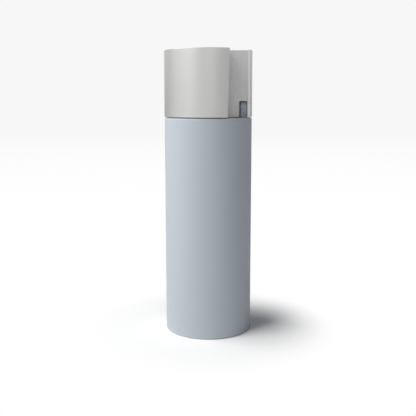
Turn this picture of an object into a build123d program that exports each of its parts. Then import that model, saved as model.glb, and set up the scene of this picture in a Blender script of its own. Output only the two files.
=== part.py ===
from build123d import *
import math
import os

# Weight for the pull cords of a window blind. It stands on its base, +Z up, with the origin at
# the centre of the base. The stepped corner of the cap is at the front right, towards -Y and +X.
# All lengths are in millimetres.

os.makedirs("parts", exist_ok=True)

# Overall
body_radius = 13.93
body_height = 69.2
cap_height = 20.8
cap_proud = 0.07
seam_gap = 0.2

# Body moulding
body_wall = 1.8
deck_thickness = 2.0
rim_round = 0.5
foot_chamfer = 0.3
rib_rise = 1.0
rib_count = 4
rib_thickness = 1.2
rib_turn = 45.0
stop_reach = 1.6

# Base disc, pressed into the foot of the body
disc_recess = 0.3
disc_thickness = 1.6
disc_seat = 0.35
disc_clearance = 0.03
disc_chamfer = 0.2

# Steel slug
slug_radius = 10.5
slug_length = 50.0
slug_clearance = 0.05
slug_chamfer = 0.8

# Sleeve of the cap
sleeve_wall = 1.0
sleeve_top_chamfer = 0.25
sleeve_bottom_chamfer = 0.15
sleeve_edge_chamfer = 0.25
step_side = 6.2
step_face = 4.2
step_lean = 1.3

# Core of the cap
core_clearance = 0.05
core_wall = 1.4
core_top_thickness = 1.8
core_top_drop = 0.1
core_setback = 0.4
core_edge_chamfer = 0.2
core_corner_round = 0.4
stop_rib_reach = 1.5

# Cord hole and the boss around it
cord_hole_radius = 3.0
cord_boss_wall = 2.5
cord_boss_length = 8.0
cord_mouth_round = 1.0
cord_knot_chamfer = 0.5

# Collar on the body, which the core fits over, with its snap bead
collar_clearance = 0.05
collar_wall = 1.5
collar_height = 4.0
bead_proud = 0.2
bead_height = 0.8
bead_drop = 1.4

# Key beside the collar and its notch in the core
key_width = 1.7
key_depth = 2.0
key_height = 4.8
key_setback = 0.1
key_chamfer = 0.6
key_side_gap = 0.25
notch_side_gap = 0.4
notch_top_gap = 0.4
notch_back_gap = 0.2
notch_edge_chamfer = 0.35

# How far a rib, collar or key is rooted in the wall it grows from, and how far a cut runs clear
join = 0.3
cut_reach = 2 * body_radius

# Levels and places that follow from the sizes above
cap_radius = body_radius + cap_proud
cap_bottom = body_height + seam_gap
cap_top = cap_bottom + cap_height
cap_middle = cap_bottom + cap_height / 2
deck_underside = body_height - deck_thickness
shell_bore = body_radius - body_wall
disc_top = disc_recess + disc_thickness
slug_top = disc_top + slug_length
sleeve_bore = cap_radius - sleeve_wall
core_radius = sleeve_bore - core_clearance
core_top = cap_top - core_top_drop
core_height = core_top - cap_bottom
core_bore = core_radius - core_wall
core_ceiling = core_top - core_top_thickness
core_side = step_side - core_setback
core_face = step_face - core_setback
collar_radius = core_bore - collar_clearance
collar_top = body_height + collar_height
bead_bottom = collar_top - bead_drop - bead_height
key_outer = math.sqrt(sleeve_bore**2 - step_face**2) - key_side_gap
key_inner = key_outer - key_width
key_front = key_setback - core_face
key_top = body_height + key_height
lean_shift = math.tan(math.radians(step_lean)) * cap_height / 2


def stepped_disc(radius, inset):
    """Round section with its front right corner stepped away. inset moves both faces of the step inwards."""
    with BuildSketch(mode=Mode.PRIVATE) as section:
        Circle(radius)
        with Locations((core_side - inset, inset - core_face)):
            Rectangle(cut_reach, cut_reach, align=(Align.MIN, Align.MAX), mode=Mode.SUBTRACT)
    return section.sketch


collar_outside = stepped_disc(collar_radius, core_wall + collar_clearance)
collar_inside = stepped_disc(collar_radius - collar_wall, core_wall + collar_clearance + collar_wall)
bead_outside = stepped_disc(collar_radius + bead_proud, core_wall + collar_clearance)
core_outside = stepped_disc(core_radius, 0)
core_inside = stepped_disc(core_bore, core_wall)
groove_outside = stepped_disc(core_bore + bead_proud, core_wall)

# Body: a turned shell, open at its foot, with a closed deck at the top
with BuildPart() as body_shell:
    with BuildSketch(Plane.XZ):
        with BuildLine():
            Polyline(
                (shell_bore + disc_seat, 0),
                (body_radius, 0),
                (body_radius, body_height),
                (0, body_height),
                (0, deck_underside),
                (shell_bore, deck_underside),
                (shell_bore, disc_top),
                (shell_bore + disc_seat, disc_top),
                close=True,
            )
        face = make_face()
        outer_corners = face.vertices().group_by(Axis.X)[-1].sort_by(Axis.Y)
        chamfer(outer_corners[0], foot_chamfer)
        fillet(outer_corners[-1], rim_round)
    revolve(axis=Axis.Z)

    # Ribs that centre the slug, with a step above it as its stop
    for turn in range(rib_count):
        with BuildSketch(Plane.XZ.rotated((0, 0, rib_turn + turn * 360 / rib_count))):
            with BuildLine():
                Polyline(
                    (shell_bore + join, disc_top + rib_rise),
                    (slug_radius + slug_clearance, disc_top + rib_rise),
                    (slug_radius + slug_clearance, slug_top + slug_clearance),
                    (slug_radius - stop_reach, slug_top + slug_clearance),
                    (slug_radius - stop_reach, deck_underside + join),
                    (shell_bore + join, deck_underside + join),
                    close=True,
                )
            make_face()
        extrude(amount=rib_thickness / 2, both=True)

    # Collar with the same stepped section as the mouth of the core
    with BuildSketch(Plane.XY.offset(body_height - join)):
        add(collar_outside)
    extrude(amount=collar_height + join)
    with BuildSketch(Plane.XY.offset(bead_bottom)):
        add(bead_outside)
    extrude(amount=bead_height)
    with BuildSketch(Plane.XY.offset(body_height)):
        add(collar_inside)
    extrude(amount=collar_height, mode=Mode.SUBTRACT)

    # Key that stands in the notch of the core
    with BuildSketch(Plane.YZ.offset(key_inner)):
        with BuildLine():
            Polyline(
                (key_front, body_height - join),
                (key_front, key_top - key_chamfer),
                (key_front + key_chamfer, key_top),
                (key_front + key_depth, key_top),
                (key_front + key_depth, body_height - join),
                close=True,
            )
        make_face()
    extrude(amount=key_width)
body_shell.part.label = "body_shell"

# Base disc, against the step at the foot of the body's bore
with BuildPart() as base_disc:
    with BuildSketch(Plane.XY.offset(disc_recess)):
        Circle(shell_bore + disc_seat - disc_clearance)
    extrude(amount=disc_thickness)
    chamfer(base_disc.edges().group_by(Axis.Z)[0], disc_chamfer)
base_disc.part.label = "base_disc"

# Slug, standing on the disc between the ribs
with BuildPart() as ballast_slug:
    with BuildSketch(Plane.XY.offset(disc_top)):
        Circle(slug_radius)
    extrude(amount=slug_length)
    chamfer(ballast_slug.edges().filter_by(GeomType.CIRCLE), slug_chamfer)
ballast_slug.part.label = "ballast_slug"

# Core: a stepped cup, open downwards, that carries the cord hole
with BuildPart() as cap_core:
    with BuildSketch(Plane.XY.offset(cap_bottom)):
        add(core_outside)
    extrude(amount=core_height)
    step_corner = cap_core.edges().filter_by(Axis.Z).sort_by_distance((core_side, -core_face, cap_bottom))[0]
    fillet(step_corner, core_corner_round)
    chamfer(cap_core.faces().sort_by(Axis.Z)[-1].edges(), core_edge_chamfer)
    with BuildSketch(Plane.XY.offset(cap_bottom)):
        add(core_inside)
    extrude(amount=core_ceiling - cap_bottom, mode=Mode.SUBTRACT)
    with BuildSketch(Plane.XY.offset(bead_bottom - collar_clearance)):
        add(groove_outside)
    extrude(amount=bead_height + 2 * collar_clearance, mode=Mode.SUBTRACT)

    # Ribs under the top that rest on the collar
    with BuildSketch(Plane.XY.offset(collar_top)):
        with PolarLocations(core_bore - stop_rib_reach, rib_count):
            Rectangle(stop_rib_reach + join, rib_thickness, align=(Align.MIN, Align.CENTER))
    extrude(amount=core_ceiling - collar_top + join)

    # Cord boss, with a rounded mouth above and a chamfer where the knot bears
    with BuildSketch(Plane.XY.offset(core_top - cord_boss_length)):
        Circle(cord_hole_radius + cord_boss_wall)
    extrude(amount=cord_boss_length - core_top_thickness + join)
    with BuildSketch(Plane.XY.offset(core_top)):
        Circle(cord_hole_radius)
    extrude(amount=-cord_boss_length, mode=Mode.SUBTRACT)
    hole_wall = cap_core.faces().sort_by_distance((0, 0, core_top - cord_boss_length / 2))[0]
    hole_rims = hole_wall.edges().filter_by(GeomType.CIRCLE).sort_by(Axis.Z)
    fillet(hole_rims[-1], cord_mouth_round)
    chamfer(hole_rims[0], cord_knot_chamfer)

    # Notch for the key, open downwards and towards the sleeve
    with BuildSketch(Plane.XY.offset(cap_bottom)):
        with Locations((key_inner - notch_side_gap, key_front + key_depth + notch_back_gap)):
            Rectangle(cut_reach, cut_reach, align=(Align.MIN, Align.MAX))
    extrude(amount=key_top + notch_top_gap - cap_bottom, mode=Mode.SUBTRACT)
    notch_corner = (key_inner - notch_side_gap, -core_face, cap_bottom)
    chamfer(cap_core.edges().filter_by(Axis.Z).sort_by_distance(notch_corner)[0], notch_edge_chamfer)
cap_core.part.label = "cap_core"

# Sleeve: a tube with its front right corner cut away. The left side of the cut leans.
with BuildPart() as cap_sleeve:
    with BuildSketch(Plane.XY.offset(cap_bottom)):
        Circle(cap_radius)
        Circle(sleeve_bore, mode=Mode.SUBTRACT)
    extrude(amount=cap_height)
    with BuildSketch(Plane.XZ.offset(step_face)):
        with BuildLine():
            Polyline(
                (step_side - lean_shift, cap_bottom),
                (step_side + lean_shift, cap_top),
                (cut_reach, cap_top),
                (cut_reach, cap_bottom),
                close=True,
            )
        make_face()
    extrude(amount=cut_reach, mode=Mode.SUBTRACT)

    # Broken edges: the outer edge of each end of the wall, then the outer edge of both rims
    wall_ends = cap_sleeve.faces().filter_by(GeomType.PLANE).sort_by(Axis.Z)[1:-1]
    for wall_end in wall_ends:
        long_edges = wall_end.edges().sort_by(SortBy.LENGTH)[-2:]
        chamfer(long_edges.sort_by_distance((0, 0, cap_middle))[-1], sleeve_edge_chamfer)
    for rim, rim_size in ((0, sleeve_bottom_chamfer), (-1, sleeve_top_chamfer)):
        rim_face = cap_sleeve.faces().filter_by(GeomType.PLANE).sort_by(Axis.Z)[rim]
        chamfer(rim_face.edges().sort_by(SortBy.LENGTH)[-1], rim_size)
cap_sleeve.part.label = "cap_sleeve"

export_step(body_shell.part, "parts/body_shell.step")
export_step(base_disc.part, "parts/base_disc.step")
export_step(ballast_slug.part, "parts/ballast_slug.step")
export_step(cap_core.part, "parts/cap_core.step")
export_step(cap_sleeve.part, "parts/cap_sleeve.step")
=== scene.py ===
import math

import bpy
import numpy as np
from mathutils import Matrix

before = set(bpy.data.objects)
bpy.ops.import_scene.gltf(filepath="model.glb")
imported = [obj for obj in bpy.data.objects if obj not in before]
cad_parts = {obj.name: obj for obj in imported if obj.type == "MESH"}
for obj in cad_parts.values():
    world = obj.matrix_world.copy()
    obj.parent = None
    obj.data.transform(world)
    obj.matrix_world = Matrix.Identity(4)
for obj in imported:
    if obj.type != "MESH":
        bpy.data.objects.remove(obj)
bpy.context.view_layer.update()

# Blind cord weight: its materials, and the floor, light and camera around it. Lengths in the dictionaries
# are in millimetres.
mm = 0.001

# Places of the colour sockets on a Mix node, which has other sockets of the same names
colourA = 6
colourB = 7
mixedColour = 2


def addNode(tree, kind, links=None, **settings):
    # One node: settings are its own properties or input values, links are the sockets that feed its inputs
    node = tree.nodes.new(kind)
    for name, value in settings.items():
        if hasattr(node, name):
            setattr(node, name, value)
        else:
            node.inputs[name.replace("_", " ")].default_value = value
    for name, socket in (links or {}).items():
        tree.links.new(socket, node.inputs[name])
    return node


def linear(hexColour):
    # sRGB hex to linear light: c / 12.92 in the toe, ((c + 0.055) / 1.055) ^ 2.4 above it
    srgb = np.array([int(hexColour[i:i + 2], 16) / 255 for i in (1, 3, 5)])
    light = np.where(srgb <= 0.04045, srgb / 12.92, ((srgb + 0.055) / 1.055) ** 2.4)
    return (*light.tolist(), 1.0)


def newMaterial(name):
    material = bpy.data.materials.new(name)
    material.use_nodes = True
    material.node_tree.nodes.clear()
    return material, material.node_tree


def finishSurface(tree, look, colourBy, roughBy, height, links=None, **settings):
    # The patterns colourBy and roughBy move colour and roughness between the two values that look gives
    # for each, and the pattern height is a slight bump
    colour = addNode(tree, "ShaderNodeMix", {"Factor": colourBy}, data_type="RGBA")
    colour.inputs[colourA].default_value = linear(look["colour"])
    colour.inputs[colourB].default_value = linear(look["patternColour"])
    rough = addNode(tree, "ShaderNodeMapRange", {"Value": roughBy},
                    To_Min=look["roughness"] - look["roughnessSpread"],
                    To_Max=look["roughness"] + look["roughnessSpread"])
    bump = addNode(tree, "ShaderNodeBump", {"Height": height},
                   Strength=look["bumpStrength"], Distance=look["bump"] * mm)
    driven = {"Base Color": colour.outputs[mixedColour], "Roughness": rough.outputs["Result"],
              "Normal": bump.outputs["Normal"]}
    shader = addNode(tree, "ShaderNodeBsdfPrincipled", {**driven, **(links or {})}, **settings)
    addNode(tree, "ShaderNodeOutputMaterial", {"Surface": shader.outputs["BSDF"]})


def dress(nodeName, material):
    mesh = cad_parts[nodeName].data
    mesh.materials.clear()
    mesh.materials.append(material)


# Body and base disc: moulded ABS with a spark-eroded grain, which gives a soft, even sheen and no sharp
# reflection. The mottle is the faint flow of the melt, 9 mm across. The real grain is 0.15 mm, and is
# drawn at 0.45 mm to show in the render.
bodyLook = {"colour": "#B0B8C0", "patternColour": "#ABB4BB", "mottle": 9.0, "mottleDetail": 3.0,
            "grain": 0.45, "grainDetail": 2.0, "bump": 0.012, "bumpStrength": 0.35,
            "roughness": 0.52, "roughnessSpread": 0.07, "ior": 1.5}


def mouldedPlastic(name, look):
    material, tree = newMaterial(name)
    place = addNode(tree, "ShaderNodeTexCoord")
    mottle = addNode(tree, "ShaderNodeTexNoise", {"Vector": place.outputs["Object"]},
                     Scale=1 / (look["mottle"] * mm), Detail=look["mottleDetail"])
    grain = addNode(tree, "ShaderNodeTexNoise", {"Vector": place.outputs["Object"]},
                    Scale=1 / (look["grain"] * mm), Detail=look["grainDetail"])
    finishSurface(tree, look, mottle.outputs["Fac"], grain.outputs["Fac"], grain.outputs["Fac"],
                  IOR=look["ior"])
    return material


bodyPlastic = mouldedPlastic("mouldedAbsGrey", bodyLook)
dress("body_shell", bodyPlastic)
dress("base_disc", bodyPlastic)
print("body and base disc done")

# Sleeve: turned aluminium tube, satin anodised, with fine rings around it and a soft band of light along
# it. The real rings are 0.08 mm apart, and are drawn at 0.35 mm. They spread light along the tube more than
# around it: stretch is how much, and a quarter of a turn points it that way.
sleeveLook = {"colour": "#C4C4C2", "patternColour": "#C0C0BF", "ring": 0.35, "ringRun": 14.0,
              "ringDetail": 2.0, "bump": 0.004, "bumpStrength": 0.3, "roughness": 0.38,
              "roughnessSpread": 0.05, "stretch": 0.35, "stretchTurn": 0.25}


def turnedMetal(name, look):
    material, tree = newMaterial(name)
    place = addNode(tree, "ShaderNodeTexCoord")
    along = 1 / (look["ringRun"] * mm)
    across = 1 / (look["ring"] * mm)
    rings = addNode(tree, "ShaderNodeMapping", {"Vector": place.outputs["Object"]},
                    Scale=(along, along, across))
    lines = addNode(tree, "ShaderNodeTexNoise", {"Vector": rings.outputs["Vector"]},
                    Scale=1.0, Detail=look["ringDetail"])
    around = addNode(tree, "ShaderNodeTangent", direction_type="RADIAL", axis="Z")
    finishSurface(tree, look, lines.outputs["Fac"], lines.outputs["Fac"], lines.outputs["Fac"],
                  {"Tangent": around.outputs["Tangent"]}, Metallic=1.0,
                  Anisotropic=look["stretch"], Anisotropic_Rotation=look["stretchTurn"])
    return material


dress("cap_sleeve", turnedMetal("anodisedAluminium", sleeveLook))
print("cap sleeve done")

# Slug: cold-drawn steel bar, skimmed on a lathe and lightly oiled, darker and smoother than the tube. Its
# real rings are 0.12 mm apart, and are drawn at 0.5 mm.
slugLook = {"colour": "#8E8E90", "patternColour": "#77777A", "ring": 0.5, "ringRun": 6.0, "ringDetail": 2.0,
            "bump": 0.006, "bumpStrength": 0.3, "roughness": 0.34, "roughnessSpread": 0.08,
            "stretch": 0.2, "stretchTurn": 0.25}
dress("ballast_slug", turnedMetal("drawnSteelBar", slugLook))
print("slug done")

# Core: ABS with silver paint, whose metal flakes give a grey that is duller than the tube and a little
# grainy. A real flake is 0.03 mm across, and is drawn at 0.3 mm.
coreLook = {"colour": "#B3B3B2", "patternColour": "#BBBBBA", "flake": 0.3, "bump": 0.006,
            "bumpStrength": 0.25, "roughness": 0.5, "roughnessSpread": 0.08, "metallic": 0.8}


def flakePaint(name, look):
    material, tree = newMaterial(name)
    place = addNode(tree, "ShaderNodeTexCoord")
    flakes = addNode(tree, "ShaderNodeTexVoronoi", {"Vector": place.outputs["Object"]},
                     Scale=1 / (look["flake"] * mm), feature="F1")
    grey = addNode(tree, "ShaderNodeSeparateColor", {"Color": flakes.outputs["Color"]})
    finishSurface(tree, look, grey.outputs["Red"], grey.outputs["Green"], flakes.outputs["Distance"],
                  Metallic=look["metallic"])
    return material


dress("cap_core", flakePaint("silverPaintedAbs", coreLook))
print("cap core done")

# Floor: a wide flat disc. Close to the weight it is lit and takes the shadow. Further out the camera sees
# it as plain white, and from there it fades to the pale grey of the room.
floorLook = {"radius": 6000.0, "ringPower": 3, "rings": 48, "turns": 96, "colour": "#FBFCFD",
             "near": "#FFFFFF", "far": "#F7F7F8", "shadowIn": 19.0, "shadowOut": 43.0,
             "farStart": 120.0, "farEnd": 1500.0}


def discSurface(name, radius, ringPower, rings, turns):
    # Point (u, v) lies at distance radius * u ^ ringPower from the centre and at angle 2 pi v. Triangles
    # close the innermost ring.
    u = np.linspace(0, 1, rings + 1)[1:, None]
    v = np.arange(turns)[None, :] / turns
    away = radius * u ** ringPower
    x = away * np.cos(2 * np.pi * v)
    y = away * np.sin(2 * np.pi * v)
    points = np.stack([x, y, np.zeros_like(x)], axis=-1).reshape(-1, 3)
    ring = np.arange(rings - 1)[:, None] * turns
    step = np.arange(turns)[None, :]
    after = (step + 1) % turns
    corners = [ring + step, ring + turns + step, ring + turns + after, ring + after]
    quads = np.stack(corners, axis=-1).reshape(-1, 4)
    centre = np.stack([np.full(turns, len(points)), step[0], after[0]], axis=-1)
    mesh = bpy.data.meshes.new(name)
    mesh.from_pydata(np.vstack([points, [[0, 0, 0]]]).tolist(), [], quads.tolist() + centre.tolist())
    return mesh


floorMesh = discSurface("floor", floorLook["radius"] * mm, floorLook["ringPower"],
                        floorLook["rings"], floorLook["turns"])
floor = bpy.data.objects.new("floor", floorMesh)
bpy.context.scene.collection.objects.link(floor)

floorMaterial, tree = newMaterial("paleFloor")
place = addNode(tree, "ShaderNodeTexCoord")
away = addNode(tree, "ShaderNodeVectorMath", {"Vector": place.outputs["Object"]}, operation="LENGTH")
clear = addNode(tree, "ShaderNodeMapRange", {"Value": away.outputs["Value"]},
                interpolation_type="SMOOTHSTEP",
                From_Min=floorLook["shadowIn"] * mm, From_Max=floorLook["shadowOut"] * mm)
distant = addNode(tree, "ShaderNodeMapRange", {"Value": away.outputs["Value"]},
                  interpolation_type="SMOOTHSTEP",
                  From_Min=floorLook["farStart"] * mm, From_Max=floorLook["farEnd"] * mm)
pale = addNode(tree, "ShaderNodeMix", {"Factor": distant.outputs["Result"]}, data_type="RGBA")
pale.inputs[colourA].default_value = linear(floorLook["near"])
pale.inputs[colourB].default_value = linear(floorLook["far"])

# Away from the weight, camera rays see the plain colour, and every other ray still meets the lit floor
path = addNode(tree, "ShaderNodeLightPath")
seen = addNode(tree, "ShaderNodeMath", {0: clear.outputs["Result"], 1: path.outputs["Is Camera Ray"]},
               operation="MULTIPLY")
lit = addNode(tree, "ShaderNodeBsdfDiffuse", Color=linear(floorLook["colour"]))
plain = addNode(tree, "ShaderNodeEmission", {"Color": pale.outputs[mixedColour]}, Strength=1.0)
mixed = addNode(tree, "ShaderNodeMixShader",
                {0: seen.outputs["Value"], 1: lit.outputs["BSDF"], 2: plain.outputs["Emission"]})
addNode(tree, "ShaderNodeOutputMaterial", {"Surface": mixed.outputs["Shader"]})
floor.data.materials.append(floorMaterial)
print("floor done")

# World: a plain pale room. The camera and reflections see the background, and all else gets soft light
# from all round.
worldLook = {"background": "#F7F7F8", "softColour": "#EAF2FF", "soft": 0.09}
world = bpy.data.worlds.new("room")
bpy.context.scene.world = world
world.use_nodes = True
tree = world.node_tree
tree.nodes.clear()
path = addNode(tree, "ShaderNodeLightPath")
cameraOrGlossy = addNode(tree, "ShaderNodeMath",
                         {0: path.outputs["Is Camera Ray"], 1: path.outputs["Is Glossy Ray"]},
                         operation="MAXIMUM")
sight = addNode(tree, "ShaderNodeMath",
                {0: cameraOrGlossy.outputs["Value"], 1: path.outputs["Is Transmission Ray"]},
                operation="MAXIMUM")
backdrop = addNode(tree, "ShaderNodeBackground", Color=linear(worldLook["background"]), Strength=1.0)
softLight = addNode(tree, "ShaderNodeBackground", Color=linear(worldLook["softColour"]),
                    Strength=worldLook["soft"])
chosen = addNode(tree, "ShaderNodeMixShader",
                 {0: sight.outputs["Value"], 1: softLight.outputs["Background"],
                  2: backdrop.outputs["Background"]})
addNode(tree, "ShaderNodeOutputWorld", {"Surface": chosen.outputs["Shader"]})

# Studio light: three soft boxes. The key stands at the front left, the side light at the left throws the
# shadow beside the foot, and a weak one fills from the front. turn is the direction as seen from above,
# from the front towards the right, and rise is the height above the horizon, both in degrees. aim is the
# level that a box points at.
keyLook = {"turn": -57.0, "rise": 46.0, "distance": 700.0, "size": 400.0, "watts": 3.95, "aim": 50.0,
           "colour": (1.0, 0.985, 0.955)}
sideLook = {"turn": -100.0, "rise": 38.0, "distance": 700.0, "size": 400.0, "watts": 2.1, "aim": 60.0,
            "colour": (1.0, 0.99, 0.975)}
fillLook = {"turn": 5.0, "rise": 35.0, "distance": 700.0, "size": 240.0, "watts": 0.6, "aim": 60.0,
            "colour": (1.0, 1.0, 1.0)}


def softBox(name, look):
    turn = math.radians(look["turn"])
    rise = math.radians(look["rise"])
    direction = np.array([math.sin(turn) * math.cos(rise), -math.cos(turn) * math.cos(rise), math.sin(rise)])
    lamp = bpy.data.lights.new(name, "AREA")
    lamp.shape = "SQUARE"
    lamp.size = look["size"] * mm
    lamp.energy = look["watts"]
    lamp.color = look["colour"]
    box = bpy.data.objects.new(name, lamp)
    bpy.context.scene.collection.objects.link(box)
    box.location = (direction * look["distance"] + (0, 0, look["aim"])) * mm
    box.rotation_euler = (math.radians(90 - look["rise"]), 0, turn)


softBox("keyLight", keyLook)
softBox("sideLight", sideLook)
softBox("fillLight", fillLook)
print("room and light done")

# Camera: set to the photo's outline of the cap and the base. tilt is downwards, in degrees. The lens is
# hardly shifted, because the views from other sides keep its shift.
cameraLook = {"away": 210.0, "height": 74.2, "side": -0.08, "tilt": 8.03, "lens": 56.26, "sensor": 36.0,
              "shiftY": -0.035, "clipStart": 10.0, "clipEnd": 20000.0}
lens = bpy.data.cameras.new("camera")
lens.sensor_width = cameraLook["sensor"]
lens.lens = cameraLook["lens"]
lens.shift_y = cameraLook["shiftY"]
lens.clip_start = cameraLook["clipStart"] * mm
lens.clip_end = cameraLook["clipEnd"] * mm
camera = bpy.data.objects.new("camera", lens)
bpy.context.scene.collection.objects.link(camera)
camera.location = (cameraLook["side"] * mm, -cameraLook["away"] * mm, cameraLook["height"] * mm)
camera.rotation_euler = (math.radians(90 - cameraLook["tilt"]), 0, 0)
bpy.context.scene.camera = camera
bpy.context.scene.view_settings.view_transform = "Standard"
print("camera done")
